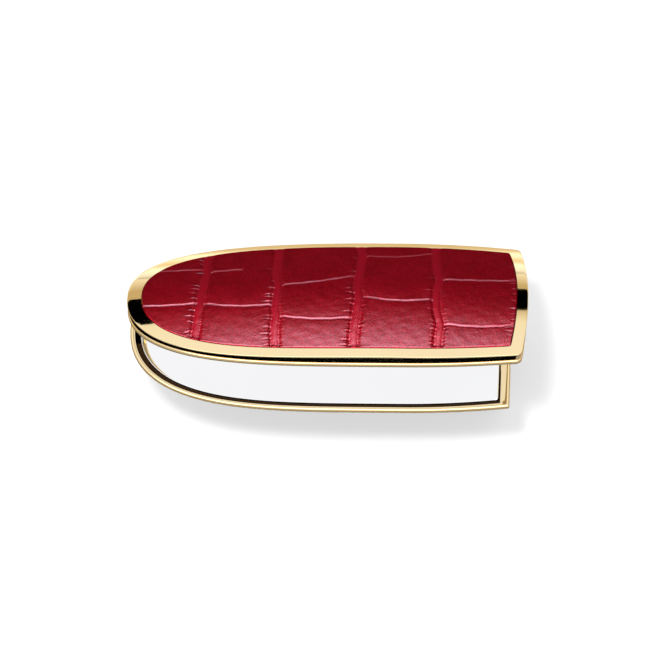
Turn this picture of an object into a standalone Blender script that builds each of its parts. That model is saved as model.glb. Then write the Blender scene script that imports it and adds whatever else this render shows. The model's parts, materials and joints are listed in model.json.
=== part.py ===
"""Hinged double-mirror lipstick case: a deep body that takes a refill, and a domed lid with a leather inlay.

Metres, +Z up. The case lies on its back with the lid ajar. +X runs from the rounded nose to the open mouth,
+Y points to the hinge side, and the origin lies on the flat land of the back, under the centre line.
Plan positions called "along" are distances from the nose tip. Depths are measured down from the body's rim
plane, and heights up from it. Lid pieces are shaped as if the lid were closed, then hang from the tilted
lid_pivot.
"""

import math

import bmesh
import bpy
import numpy as np
from mathutils import Matrix, Vector

MM = 0.001

# Plan outline, shared by body and lid
HALF_WIDTH = 14.5 * MM
LID_LENGTH = 68.05 * MM
BODY_LENGTH = 66.27 * MM
WIDEST_ALONG = 48.5 * MM
NOSE_POWER = 4.13
NOSE_ROOT = 2.27
END_TAPER = 0.081
NOSE_X = -33.5 * MM
BODY_END_BULGE = 0.26 * MM
LID_END_BULGE = 1.07 * MM
LID_CREST_BULGE = 1.26 * MM

# Body section: an upright skirt, then flanks that lean in to an elliptical belly, cut by the flat land
BODY_DEPTH = 20.1 * MM
SKIRT_DEPTH = 0.9 * MM
BELLY_DEPTH = 10.95 * MM
BELLY_HALF_WIDTH = 10.2 * MM
BELLY_HALF_DEPTH = 9.55 * MM
NOSE_SWEEP = 16 * MM
NOSE_SWEEP_DEPTH = 21 * MM
NOSE_SWEEP_POWER = 2.2
SHELL_WALL = 0.85 * MM
END_WALL = 1.6 * MM
SHELL_FLOOR_DEPTH = 19.55 * MM

# Lid crown
CREST_HEIGHT = 5.23 * MM
CREST_ALONG = 44.5 * MM
ARCH_RADIUS = 396 * MM
CAMBER_RADIUS = 43.1 * MM
CROWN_SHARES = (1, 0.8, 0.55, 0.3, 0.08)

# Lid frame and its mirror ring, heights above the rim plane
FRAME_FOOT = 1.3 * MM
FRAME_FOOT_INSET = 0.16 * MM
FRAME_EDGE = 0.12 * MM
POCKET_CHAMFER = 0.08 * MM
POCKET_FLOOR = 1.75 * MM
CORE_FLOOR = 1.8 * MM
LEATHER_DROP = 0.7 * MM
LEATHER_RISE = 0.05 * MM
LEATHER_BEVEL = 0.15 * MM
INLAY_GAP = 0.08 * MM

# Lid hinge
HINGE_Y = 14.0 * MM
HINGE_HEIGHT = 0.27 * MM
LID_ANGLE = math.radians(29.1)
PIN_RADIUS = 0.45 * MM
PIN_BORE_RADIUS = 0.5 * MM
KNUCKLE_RADIUS = 0.95 * MM
SCOOP_RADIUS = 1.1 * MM
HINGE_START = 22.6 * MM
HINGE_END = 61.9 * MM
HINGE_INNER_Y = 13.05 * MM
HINGE_OUTER_Y = 13.95 * MM
NOTCH_GAP = 0.05 * MM
BODY_KNUCKLES = ((22.8 * MM, 28.8 * MM), (37.4 * MM, 47.1 * MM), (55.7 * MM, 61.7 * MM))
LID_KNUCKLES = ((29.0 * MM, 34.0 * MM), (50.5 * MM, 55.5 * MM))
SPRING_BAYS = ((34.2 * MM, 37.2 * MM), (47.3 * MM, 50.3 * MM))

# Mirrors and leather, each inset (side, nose, end) from the outline
BODY_MIRROR_INSET = (1.57 * MM, 1.84 * MM, 1.95 * MM)
LID_MIRROR_INSET = (1.6 * MM, 2.0 * MM, 2.1 * MM)
LEATHER_INSET = (1.64 * MM, 2.56 * MM, 1.9 * MM)
MIRROR_BEVEL = 0.12 * MM
TAPE_INSET = 0.8 * MM
BODY_MIRROR_HEIGHTS = (-1.2 * MM, -0.5 * MM)
BODY_TAPE_HEIGHTS = (-1.42 * MM, -1.23 * MM)
LID_MIRROR_HEIGHTS = (1.13 * MM, 0.58 * MM)
LID_TAPE_HEIGHTS = (1.15 * MM, 1.28 * MM)

# Refill bore
BORE_DEPTH = 10.8 * MM
BORE_RADIUS = 7.8 * MM
SLEEVE_RADIUS = 8.35 * MM
SLEEVE_DOME_START = 24 * MM
SLEEVE_DOME_LENGTH = 9 * MM
SLEEVE_MOUTH = 64.5 * MM
COLLAR_RADIUS = 8.55 * MM
COLLAR_HOLE_RADIUS = 8.65 * MM
COLLAR_SPAN = (64.75 * MM, 66.55 * MM)
COLLAR_EDGE = 0.2 * MM
GRIP_SPAN = (49 * MM, 60 * MM)
GRIP_HALF_WIDTH = 1.2 * MM
GRIP_THICKNESS = 0.2 * MM
GRIP_RADIUS = 8.1 * MM
GRIP_BOW = 0.35 * MM
WINDOW_GAP = 0.3 * MM

# Mirror deck, in depths below the rim plane
DECK_LIP = 0.95 * MM
DECK_POCKET = 1.45 * MM
DECK_BOTTOM = 2.2 * MM
DECK_EDGE = 0.08 * MM
DECK_GAP = 0.1 * MM
DECK_ROOT = 2.0 * MM
POCKET_GAP = 0.12 * MM
POST_SPAN = (5.2 * MM, 6.2 * MM)
POST_HALF_WIDTH = 1.1 * MM
POST_BOTTOM = 4.1 * MM
GUIDE_STARTS = (30 * MM, 52 * MM)
GUIDE_LENGTH = 4 * MM
GUIDE_THICKNESS = 0.5 * MM
GUIDE_BOTTOM = 3.2 * MM
BLADE_SLOT_END = 2.0 * MM
BLADE_SLOT_HALF_WIDTH = 2.2 * MM

# Catch under the deck
SLIDE_GAP = 0.1 * MM
SLIDER_TOP = 2.35 * MM
SLIDER_BOTTOM = 3.05 * MM
SLIDER_Y = (7.4 * MM, 9.2 * MM)
BOLT_HALF_WIDTH = 0.7 * MM
BOLT_TIP = 2.05 * MM
SLIDER_TIP = 67.45 * MM
CROSS_ARM = (11.5 * MM, 14.5 * MM)
CATCH_SPRING_Y = 4.5 * MM
CATCH_SPRING_DEPTH = 3.25 * MM
CATCH_SPRING_SPAN = (6.4 * MM, 11.3 * MM)
SEAT_BOTTOM = 4.2 * MM
BLADE_SPAN = (1.4 * MM, 1.75 * MM)
BLADE_HALF_WIDTH = 1.5 * MM
BLADE_HEIGHTS = (-3.8 * MM, 1.25 * MM)
WINDOW_HALF_WIDTH = 0.95 * MM
WINDOW_HEIGHTS = (-3.35 * MM, -2.05 * MM)

# Fineness
SIDE_STEPS = 18
END_STEPS = 4
ROUND_STEPS = 28
WIRE_SIDES = 5
FAR_OUT = 17 * MM

COLOURS = {
    "polished_gold": ((0.90, 0.72, 0.42), 0.08, 1.0),
    "satin_gold": ((0.62, 0.44, 0.20), 0.3, 1.0),
    "mirror_glass": ((0.93, 0.94, 0.95), 0.03, 1.0),
    "tape": ((0.75, 0.74, 0.70), 0.8, 0.0),
    "black_plastic": ((0.03, 0.018, 0.008), 0.45, 0.0),
    "core_plastic": ((0.20, 0.20, 0.21), 0.5, 0.0),
    "steel": ((0.62, 0.62, 0.64), 0.25, 1.0),
    "red_leather": ((0.26, 0.008, 0.02), 0.42, 0.0),
}


# Plan and section curves


def half_width(along):
    """Half width of the case at a distance from the nose tip."""
    if along < WIDEST_ALONG:
        share = (WIDEST_ALONG - along) / WIDEST_ALONG
        return HALF_WIDTH * (1 - share**NOSE_POWER) ** (1 / NOSE_ROOT)
    share = (along - WIDEST_ALONG) / (LID_LENGTH - WIDEST_ALONG)
    return HALF_WIDTH * (1 - END_TAPER * share**2)


def outline(length, side=0.0, nose=0.0, end=0.0, bulge=0.0):
    """Plan loop, anticlockwise from the hinge side's end corner, inset by side, nose and end."""
    steps = [length * (i / SIDE_STEPS) ** 2.2 for i in range(SIDE_STEPS + 1)]
    stretch = (length - nose - end) / length
    shrink = 1 - side / HALF_WIDTH
    flank = [(NOSE_X + nose + a * stretch, half_width(a) * shrink) for a in steps]
    end_x, end_y = flank[-1]
    shares = [2 * i / END_STEPS - 1 for i in range(1, END_STEPS)]
    end_edge = [(end_x + bulge * (1 - s * s), end_y * s) for s in shares]
    return np.array(flank[::-1] + [(x, -y) for x, y in flank[1:]] + end_edge)


def section_half_width(depth, wall):
    """Half width of the body's section at a depth, inside a wall of this thickness."""
    rim = HALF_WIDTH - wall
    if depth < SKIRT_DEPTH:
        return rim
    across = BELLY_HALF_WIDTH - wall
    down = BELLY_HALF_DEPTH - wall
    drop = BELLY_DEPTH - SKIRT_DEPTH
    reach = math.hypot(rim * down / across, drop)
    lean = math.atan2(rim * down / across, drop) - math.asin(down / reach)
    if depth - SKIRT_DEPTH < math.sqrt(reach**2 - down**2) * math.cos(lean):
        return rim - (depth - SKIRT_DEPTH) * math.tan(lean) * across / down
    return across * math.sqrt(1 - ((depth - BELLY_DEPTH) / down) ** 2)


def nose_sweep(depth):
    """How far the nose has swept back at a depth."""
    return NOSE_SWEEP * (1 - math.sqrt(1 - (depth / NOSE_SWEEP_DEPTH) ** NOSE_SWEEP_POWER))


def hull_ring(depth, wall, end):
    """The body's waterline at a depth, inside a wall."""
    side = HALF_WIDTH - section_half_width(depth, wall)
    nose = nose_sweep(depth + wall) + wall
    return flat_ring(outline(BODY_LENGTH, side, nose, end, BODY_END_BULGE), -depth)


def lid_top(x, y):
    """Height of the closed lid's crown above the rim plane."""
    arch = (x - NOSE_X - CREST_ALONG) ** 2 / (2 * ARCH_RADIUS)
    camber = CAMBER_RADIUS - math.sqrt(CAMBER_RADIUS**2 - y**2)
    return CREST_HEIGHT - arch - camber


def lid_outline(inset, bulge=LID_END_BULGE):
    """The lid's plan loop, evenly inset."""
    return outline(LID_LENGTH, inset, inset, inset, bulge)


def inset_outline(length, insets, bulge, more=0.0):
    """A plan loop with its own side, nose and end insets, and more all round."""
    side, nose, end = (inset + more for inset in insets)
    return outline(length, side, nose, end, bulge)


def shrunk(loop, share):
    """A loop scaled about the middle of the case."""
    middle = np.array([NOSE_X + LID_LENGTH / 2, 0])
    return middle + (loop - middle) * share


def flat_ring(loop, height):
    return [(x, y, height) for x, y in loop]


def crown_ring(loop, drop):
    """A loop laid on the lid's crown, lowered by drop."""
    return [(x, y, lid_top(x, y) - drop) for x, y in loop]


# Mesh helpers


def loft_faces(ring_count, ring_size, closed):
    """Quads between neighbouring rings, with end caps unless the rings close on themselves."""
    faces = []
    for i in range(ring_count if closed else ring_count - 1):
        low, high = i * ring_size, (i + 1) % ring_count * ring_size
        for j in range(ring_size):
            k = (j + 1) % ring_size
            faces.append((low + j, low + k, high + k, high + j))
    if not closed:
        faces.append(tuple(range(ring_size))[::-1])
        faces.append(tuple(range((ring_count - 1) * ring_size, ring_count * ring_size)))
    return faces


def material(name):
    """The named Principled material, made once."""
    if name in bpy.data.materials:
        return bpy.data.materials[name]
    colour, roughness, metallic = COLOURS[name]
    made = bpy.data.materials.new(name)
    made.use_nodes = True
    shader = made.node_tree.nodes["Principled BSDF"]
    shader.inputs["Base Color"].default_value = (*colour, 1)
    shader.inputs["Roughness"].default_value = roughness
    shader.inputs["Metallic"].default_value = metallic
    return made


def solid(name, rings, parent, finish=None, closed=False):
    """A closed solid lofted through rings, under parent. Without a finish it is a hidden Boolean tool."""
    points = [point for ring in rings for point in ring]
    mesh = bpy.data.meshes.new(name)
    mesh.from_pydata(points, [], loft_faces(len(rings), len(rings[0]), closed))
    shell = bmesh.new()
    shell.from_mesh(mesh)
    bmesh.ops.recalc_face_normals(shell, faces=shell.faces)
    shell.to_mesh(mesh)
    shell.free()
    mesh.transform(Matrix.Translation(-Vector(parent["pivot"])))
    made = bpy.data.objects.new(name, mesh)
    bpy.context.scene.collection.objects.link(made)
    made.parent = parent
    if finish:
        mesh.materials.append(material(finish))
        mesh.shade_smooth()
        mesh.set_sharp_from_angle(angle=math.radians(35))
    else:
        made.hide_render = True
        made.display_type = "WIRE"
    return made


def box(name, low, high, parent, finish=None):
    """A block between two corners given as (along, y, height)."""
    (a0, y0, z0), (a1, y1, z1) = low, high
    corners = [(a0, y0), (a1, y0), (a1, y1), (a0, y1)]
    rings = [[(NOSE_X + a, y, z) for a, y in corners] for z in (z0, z1)]
    return solid(name, rings, parent, finish)


def turned_rings(profile, y, height):
    """Circles round an axis along X, through (along, radius) points."""
    angles = [2 * math.pi * i / ROUND_STEPS for i in range(ROUND_STEPS)]
    return [
        [(NOSE_X + a, y + r * math.cos(t), height + r * math.sin(t)) for t in angles]
        for a, r in profile
    ]


def rod(name, start, stop, radius, parent, finish=None):
    """A cylinder on the hinge axis."""
    rings = turned_rings([(start, radius), (stop, radius)], HINGE_Y, HINGE_HEIGHT)
    return solid(name, rings, parent, finish)


def combine(target, tool, operation):
    """Adds a Boolean of another object to target."""
    modifier = target.modifiers.new(tool.name, "BOOLEAN")
    modifier.operation = operation
    modifier.object = tool


def cut(target, tool):
    combine(target, tool, "DIFFERENCE")


def join(target, tool):
    combine(target, tool, "UNION")


def wire(name, path, radius, parent, finish):
    """A round wire along a path of points, with mitred joints."""
    path = np.array(path)
    rings = []
    guide = np.array([1.0, 0.0, 0.0])
    for i, point in enumerate(path):
        heading = path[min(i + 1, len(path) - 1)] - path[max(i - 1, 0)]
        heading = heading / np.linalg.norm(heading)
        across = guide - heading * guide.dot(heading)
        across = across / np.linalg.norm(across)
        upward = np.cross(heading, across)
        angles = [2 * math.pi * k / WIRE_SIDES for k in range(WIRE_SIDES)]
        rings.append([point + radius * (across * math.cos(t) + upward * math.sin(t)) for t in angles])
        guide = across
    return solid(name, rings, parent, finish)


def coil(start, stop, turns, radius, y, height):
    """Points of a helix round an axis along X."""
    steps = 12
    points = []
    for i in range(turns * steps + 1):
        share = i / (turns * steps)
        angle = 2 * math.pi * turns * share - math.pi / 2
        x = NOSE_X + start + (stop - start) * share
        points.append((x, y + radius * math.cos(angle), height + radius * math.sin(angle)))
    return points


# Body pieces


def body_shell(body):
    """Outer trough with a beaded rim, a flat band across its end and a round mouth."""
    outside = [20.1, 19.7, 19.0, 17.8, 16.0, 13.9, 10.0, 6.0, 2.5, 0.9]
    inside = [1.03, 2.2, 6.0, 10.0, 13.5, 16.0, 17.8, 19.0]
    outer_bead = [(0.0, 0.45), (0.13, 0.13), (0.4, 0.0)]
    inner_bead = [(0.6, 0.0), (0.79, 0.12), (0.85, 0.4)]
    rings = [hull_ring(depth * MM, 0, 0) for depth in outside]
    rings += [hull_ring(depth * MM, inset * MM, inset * MM) for inset, depth in outer_bead]
    for inset, depth in inner_bead:
        end = END_WALL - SHELL_WALL + inset * MM
        rings.append(hull_ring(depth * MM, inset * MM, end))
    rings += [hull_ring(depth * MM, SHELL_WALL, END_WALL) for depth in inside]
    rings.append(hull_ring(SHELL_FLOOR_DEPTH, SHELL_WALL, END_WALL))
    shell = solid("body_shell", rings, body, "polished_gold")
    mouth = [(60 * MM, COLLAR_HOLE_RADIUS), (70 * MM, COLLAR_HOLE_RADIUS)]
    cut(shell, solid("mouth_cutter", turned_rings(mouth, 0, -BORE_DEPTH), body))
    cut(shell, slider_slot_cutter(body))
    cut(shell, hinge_notch_cutter(body, "shell_notch_cutter", -DECK_BOTTOM - DECK_GAP, MM))


def slider_slot_cutter(body):
    low = (60 * MM, SLIDER_Y[0] - SLIDE_GAP, -SLIDER_BOTTOM - SLIDE_GAP)
    high = (70 * MM, SLIDER_Y[1] + SLIDE_GAP, -SLIDER_TOP + SLIDE_GAP)
    return box("slider_slot_cutter", low, high, body)


def hinge_notch_cutter(parent, name, low, high):
    """A block that clears the hinge side's wall for a hinge block."""
    start, stop = HINGE_START - NOTCH_GAP, HINGE_END + NOTCH_GAP
    return box(name, (start, HINGE_INNER_Y - NOTCH_GAP, low), (stop, FAR_OUT, high), parent)


def mirror_deck(body):
    """Tray that closes the trough: a sunk lip round a pocket for the mirror, guides for the catch below."""
    wall = SHELL_WALL + DECK_GAP
    end = END_WALL + DECK_GAP
    pocket = tuple(inset - POCKET_GAP for inset in BODY_MIRROR_INSET)
    rings = [
        hull_ring(DECK_BOTTOM, wall, end),
        hull_ring(DECK_LIP + DECK_EDGE, wall, end),
        hull_ring(DECK_LIP, wall + DECK_EDGE, end + DECK_EDGE),
        flat_ring(inset_outline(BODY_LENGTH, pocket, BODY_END_BULGE, -DECK_EDGE), -DECK_LIP),
        flat_ring(inset_outline(BODY_LENGTH, pocket, BODY_END_BULGE), -DECK_LIP - DECK_EDGE),
        flat_ring(inset_outline(BODY_LENGTH, pocket, BODY_END_BULGE), -DECK_POCKET),
    ]
    deck = solid("mirror_deck", rings, body, "black_plastic")
    low = (POST_SPAN[0], CATCH_SPRING_Y - POST_HALF_WIDTH, -POST_BOTTOM)
    high = (POST_SPAN[1], CATCH_SPRING_Y + POST_HALF_WIDTH, -DECK_ROOT)
    join(deck, box("spring_post", low, high, body))
    for number, along in enumerate(GUIDE_STARTS):
        for side, y in enumerate((SLIDER_Y[0] - SLIDE_GAP - GUIDE_THICKNESS, SLIDER_Y[1] + SLIDE_GAP)):
            low = (along, y, -GUIDE_BOTTOM)
            high = (along + GUIDE_LENGTH, y + GUIDE_THICKNESS, -DECK_ROOT)
            join(deck, box(f"slider_guide_{number}_{side}", low, high, body))
    low = (-MM, -BLADE_SLOT_HALF_WIDTH, -6 * MM)
    high = (BLADE_SLOT_END, BLADE_SLOT_HALF_WIDTH, MM)
    cut(deck, box("blade_slot_cutter", low, high, body))
    cut(deck, hinge_notch_cutter(body, "deck_notch_cutter", -6 * MM, MM))


def plate(name, parent, plan, heights, finish):
    """A flat mirror or tape from its back height to its face height, with a fine bevel on the face."""
    length, insets, bulge = plan
    back, face = heights
    step = math.copysign(MIRROR_BEVEL, face - back)
    rings = [
        flat_ring(inset_outline(length, insets, bulge), back),
        flat_ring(inset_outline(length, insets, bulge), face - step),
        flat_ring(inset_outline(length, insets, bulge, MIRROR_BEVEL), face),
    ]
    solid(name, rings, parent, finish)


def body_mirrors(body):
    tape_inset = tuple(inset + TAPE_INSET for inset in BODY_MIRROR_INSET)
    mirror_plan = (BODY_LENGTH, BODY_MIRROR_INSET, BODY_END_BULGE)
    tape_plan = (BODY_LENGTH, tape_inset, BODY_END_BULGE)
    plate("body_mirror", body, mirror_plan, BODY_MIRROR_HEIGHTS, "mirror_glass")
    plate("body_mirror_tape", body, tape_plan, BODY_TAPE_HEIGHTS, "tape")


def refill_sleeve(body):
    """Test-tube liner that guides the refill, with side windows for the grip springs."""
    def dome(radius, end):
        shares = [i / 7 for i in range(1, 8)]
        length = SLEEVE_DOME_LENGTH - end
        return [
            (SLEEVE_DOME_START - length * math.cos(s * math.pi / 2), radius * math.sin(s * math.pi / 2))
            for s in shares
        ]

    outer = dome(SLEEVE_RADIUS, 0) + [(SLEEVE_MOUTH, SLEEVE_RADIUS)]
    inner = [(SLEEVE_MOUTH, BORE_RADIUS)] + dome(BORE_RADIUS, SLEEVE_RADIUS - BORE_RADIUS)[::-1]
    sleeve = solid("refill_sleeve", turned_rings(outer + inner, 0, -BORE_DEPTH), body, "black_plastic")
    half = GRIP_HALF_WIDTH + WINDOW_GAP
    low = (GRIP_SPAN[0] - WINDOW_GAP, -9 * MM, -BORE_DEPTH - half)
    high = (GRIP_SPAN[1] + WINDOW_GAP, 9 * MM, -BORE_DEPTH + half)
    cut(sleeve, box("grip_window_cutter", low, high, body))


def refill_grip(name, side, body):
    """Thin leaf that bows through a sleeve window and holds the refill."""
    steps = 12
    half = GRIP_HALF_WIDTH
    rings = []
    for i in range(steps + 1):
        share = i / steps
        x = NOSE_X + GRIP_SPAN[0] + (GRIP_SPAN[1] - GRIP_SPAN[0]) * share
        inner = GRIP_RADIUS - GRIP_BOW * (1 - math.cos(2 * math.pi * share))
        outer = inner + GRIP_THICKNESS
        corners = [(inner, -half), (outer, -half), (outer, half), (inner, half)]
        rings.append([(x, side * r, z - BORE_DEPTH) for r, z in corners])
    solid(name, rings, body, "steel")


def end_collar(body):
    """Metal ring that lines the mouth, with its face just proud of the end."""
    start, face = COLLAR_SPAN
    profile = [
        (start, BORE_RADIUS),
        (start, COLLAR_RADIUS),
        (face - COLLAR_EDGE, COLLAR_RADIUS),
        (face, COLLAR_RADIUS - COLLAR_EDGE),
        (face, BORE_RADIUS + COLLAR_EDGE),
        (face - COLLAR_EDGE, BORE_RADIUS),
    ]
    solid("end_collar", turned_rings(profile, 0, -BORE_DEPTH), body, "polished_gold", closed=True)


def catch_slider(body):
    """Flat bar on the hinge side, pushed in at the mouth, that carries a bolt to the nose."""
    low_y, high_y = SLIDER_Y
    near, far = CROSS_ARM
    plan = [
        (SLIDER_TIP, low_y),
        (SLIDER_TIP, high_y),
        (near, high_y),
        (near, BOLT_HALF_WIDTH),
        (BOLT_TIP, BOLT_HALF_WIDTH),
        (BOLT_TIP, -BOLT_HALF_WIDTH),
        (far, -BOLT_HALF_WIDTH),
        (far, low_y),
    ]
    rings = [[(NOSE_X + a, y, -depth) for a, y in plan] for depth in (SLIDER_BOTTOM, SLIDER_TOP)]
    slider = solid("catch_slider", rings, body, "black_plastic")
    low = (near, CATCH_SPRING_Y - MM, -SEAT_BOTTOM)
    high = (near + MM, CATCH_SPRING_Y + MM, -SLIDER_TOP - SLIDE_GAP)
    join(slider, box("spring_seat", low, high, body))


def catch_spring(body):
    turns, coil_radius, wire_radius = 6, 0.62 * MM, 0.11 * MM
    path = coil(*CATCH_SPRING_SPAN, turns, coil_radius, CATCH_SPRING_Y, -CATCH_SPRING_DEPTH)
    wire("catch_spring", path, wire_radius, body, "steel")


# Hinge


def hinge_block(name, parent, knuckles, low, high):
    """A bar with round knuckles, scooped out beside them and bored for the pin."""
    corners = (HINGE_START, HINGE_INNER_Y, low), (HINGE_END, HINGE_OUTER_Y, high)
    block = box(name, *corners, parent, "satin_gold")
    for number, (start, stop) in enumerate(knuckles):
        join(block, rod(f"{name}_knuckle_{number}", start, stop, KNUCKLE_RADIUS, parent))
    edges = [HINGE_START - MM] + [edge for span in knuckles for edge in span] + [HINGE_END + MM]
    for number, (start, stop) in enumerate(zip(edges[::2], edges[1::2])):
        cut(block, rod(f"{name}_scoop_{number}", start, stop, SCOOP_RADIUS, parent))
    cut(block, rod(f"{name}_bore", HINGE_START - MM, HINGE_END + MM, PIN_BORE_RADIUS, parent))


def torsion_spring(name, bay, body):
    """Coil round the pin with a short tangent leg at each end."""
    start, stop = bay
    turns, radius, wire_radius, end_gap = 7, 0.7 * MM, 0.1 * MM, 0.2 * MM
    near_leg, far_leg = 0.7 * MM, 0.56 * MM
    path = coil(start + end_gap, stop - end_gap, turns, radius, HINGE_Y, HINGE_HEIGHT)
    first = (path[0][0], HINGE_Y - near_leg, HINGE_HEIGHT - radius)
    last = (path[-1][0], HINGE_Y + far_leg, HINGE_HEIGHT - radius)
    wire(name, [first] + path + [last], wire_radius, body, "steel")


def hinge(body, lid):
    pin_gap = 0.1 * MM
    hinge_block("body_hinge_block", body, BODY_KNUCKLES, -DECK_BOTTOM, -0.1 * MM)
    hinge_block("lid_hinge_block", lid, LID_KNUCKLES, 0.2 * MM, 1.67 * MM)
    rod("hinge_pin", BODY_KNUCKLES[0][0] + pin_gap, BODY_KNUCKLES[-1][1] - pin_gap, PIN_RADIUS, body, "steel")
    torsion_spring("torsion_spring_nose_side", SPRING_BAYS[0], body)
    torsion_spring("torsion_spring_mouth_side", SPRING_BAYS[1], body)


# Lid pieces


def lid_frame(lid):
    """Gold frame: a leaning wall, a cambered rim and a flat-floored pocket for the inlay."""
    pocket = tuple(inset - POCKET_CHAMFER for inset in LEATHER_INSET)
    mouth = inset_outline(LID_LENGTH, LEATHER_INSET, LID_CREST_BULGE)
    rings = [
        flat_ring(lid_outline(FRAME_FOOT_INSET), FRAME_FOOT),
        crown_ring(lid_outline(0, LID_CREST_BULGE), FRAME_EDGE),
        crown_ring(lid_outline(FRAME_EDGE / 2, LID_CREST_BULGE), FRAME_EDGE / 4),
        crown_ring(lid_outline(2 * FRAME_EDGE, LID_CREST_BULGE), 0),
        crown_ring(inset_outline(LID_LENGTH, pocket, LID_CREST_BULGE), 0),
        crown_ring(mouth, POCKET_CHAMFER),
        flat_ring(mouth, POCKET_FLOOR),
    ]
    frame = solid("lid_frame", rings, lid, "polished_gold")
    cut(frame, hinge_notch_cutter(lid, "frame_notch_cutter", -MM, 1.72 * MM))


def inlay_core(lid):
    """Domed former that carries the leather."""
    loop = inset_outline(LID_LENGTH, LEATHER_INSET, LID_CREST_BULGE, INLAY_GAP)
    rings = [flat_ring(loop, CORE_FLOOR)]
    rings += [crown_ring(shrunk(loop, share), LEATHER_DROP + 0.1 * MM) for share in CROWN_SHARES]
    solid("inlay_core", rings, lid, "core_plastic")


def leather_inlay(lid):
    """Plain curved sheet with the leather's true outline and thickness."""
    loop = inset_outline(LID_LENGTH, LEATHER_INSET, LID_CREST_BULGE, INLAY_GAP)
    rings = [crown_ring(shrunk(loop, share), LEATHER_DROP) for share in CROWN_SHARES[::-1]]
    rings.append(crown_ring(loop, LEATHER_BEVEL))
    top = inset_outline(LID_LENGTH, LEATHER_INSET, LID_CREST_BULGE, INLAY_GAP + LEATHER_BEVEL)
    rings += [crown_ring(shrunk(top, share), -LEATHER_RISE) for share in CROWN_SHARES]
    solid("leather_inlay", rings, lid, "red_leather")


def lid_mirror_frame(lid):
    """Beaded ring under the frame that holds the lid mirror by a thin lip."""
    section = [(0.3, 0.15), (0.12, 0.35), (0.03, 0.7), (0.1, 1.05), (0.3, 1.25),
               (1.45, 1.25), (1.45, 0.52), (1.85, 0.52), (1.85, 0.28), (1.72, 0.15)]
    rings = []
    for inset, height in section:
        side = inset * MM
        nose, end = (side, side) if inset < 0.5 else (side + 0.35 * MM, side + 0.4 * MM)
        loop = outline(LID_LENGTH, side, nose, end, LID_END_BULGE)
        rings.append(flat_ring(loop, height * MM))
    ring = solid("lid_mirror_frame", rings, lid, "polished_gold", closed=True)
    cut(ring, hinge_notch_cutter(lid, "ring_notch_cutter", -MM, 3 * MM))
    low, high = (1.3 * MM, -1.6 * MM, -MM), (1.85 * MM, 1.6 * MM, 3 * MM)
    cut(ring, box("blade_seat_cutter", low, high, lid))


def lid_mirrors(lid):
    tape_inset = tuple(inset + TAPE_INSET for inset in LID_MIRROR_INSET)
    mirror_plan = (LID_LENGTH, LID_MIRROR_INSET, LID_END_BULGE)
    tape_plan = (LID_LENGTH, tape_inset, LID_END_BULGE)
    plate("lid_mirror", lid, mirror_plan, LID_MIRROR_HEIGHTS, "mirror_glass")
    plate("lid_mirror_tape", lid, tape_plan, LID_TAPE_HEIGHTS, "tape")


def lid_catch_blade(lid):
    """Thin blade at the nose with a window for the catch bolt."""
    low = (BLADE_SPAN[0], -BLADE_HALF_WIDTH, BLADE_HEIGHTS[0])
    high = (BLADE_SPAN[1], BLADE_HALF_WIDTH, BLADE_HEIGHTS[1])
    blade = box("lid_catch_blade", low, high, lid, "steel")
    low = (MM, -WINDOW_HALF_WIDTH, WINDOW_HEIGHTS[0])
    high = (2.5 * MM, WINDOW_HALF_WIDTH, WINDOW_HEIGHTS[1])
    cut(blade, box("blade_window_cutter", low, high, lid))


def empty(name, location, pivot):
    """A parent whose children are shaped in the rim frame and turn about pivot."""
    made = bpy.data.objects.new(name, None)
    bpy.context.scene.collection.objects.link(made)
    made.location = location
    made["pivot"] = pivot
    return made


def main():
    for old in list(bpy.data.objects):
        bpy.data.objects.remove(old)
    body = empty("body_rim", (0, 0, BODY_DEPTH), (0, 0, 0))
    lid = empty("lid_pivot", (0, HINGE_Y, BODY_DEPTH + HINGE_HEIGHT), (0, HINGE_Y, HINGE_HEIGHT))
    lid.rotation_euler = (-LID_ANGLE, 0, 0)
    body_shell(body)
    mirror_deck(body)
    body_mirrors(body)
    refill_sleeve(body)
    refill_grip("refill_grip_near", -1, body)
    refill_grip("refill_grip_far", 1, body)
    end_collar(body)
    catch_slider(body)
    catch_spring(body)
    hinge(body, lid)
    lid_frame(lid)
    inlay_core(lid)
    leather_inlay(lid)
    lid_mirror_frame(lid)
    lid_mirrors(lid)
    lid_catch_blade(lid)


main()
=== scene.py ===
"""Looks of a hinged, double-mirror lipstick case with an embossed leather inlay, built round its CAD frame.

Pieces are shaped in millimetres, with the lid closed: x is the distance "along" from the nose tip, y points
to the hinge side, and z is the height above the body's rim plane. PLACES carries each body's pieces from
there to the row frame, in metres, with the lid ajar as it rests.
"""

import json
import math

import bmesh
import bpy
import numpy as np
from mathutils import Matrix, Vector


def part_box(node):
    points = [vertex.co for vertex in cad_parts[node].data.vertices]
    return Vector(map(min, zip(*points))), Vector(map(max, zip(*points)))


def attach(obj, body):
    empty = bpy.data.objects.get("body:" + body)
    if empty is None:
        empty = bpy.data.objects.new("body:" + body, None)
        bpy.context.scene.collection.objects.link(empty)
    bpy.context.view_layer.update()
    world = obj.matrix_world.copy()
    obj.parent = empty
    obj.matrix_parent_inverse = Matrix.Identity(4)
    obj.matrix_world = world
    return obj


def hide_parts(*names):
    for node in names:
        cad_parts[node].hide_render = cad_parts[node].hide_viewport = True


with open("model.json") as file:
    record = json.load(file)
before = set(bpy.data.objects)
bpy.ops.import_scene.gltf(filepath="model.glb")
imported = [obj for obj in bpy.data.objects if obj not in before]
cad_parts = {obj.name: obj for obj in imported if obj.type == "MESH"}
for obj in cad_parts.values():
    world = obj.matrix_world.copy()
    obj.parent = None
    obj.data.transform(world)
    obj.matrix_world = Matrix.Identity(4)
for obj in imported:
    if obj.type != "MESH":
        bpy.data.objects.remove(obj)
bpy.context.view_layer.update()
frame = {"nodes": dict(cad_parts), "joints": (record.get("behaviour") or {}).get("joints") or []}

MM = 0.001

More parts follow.
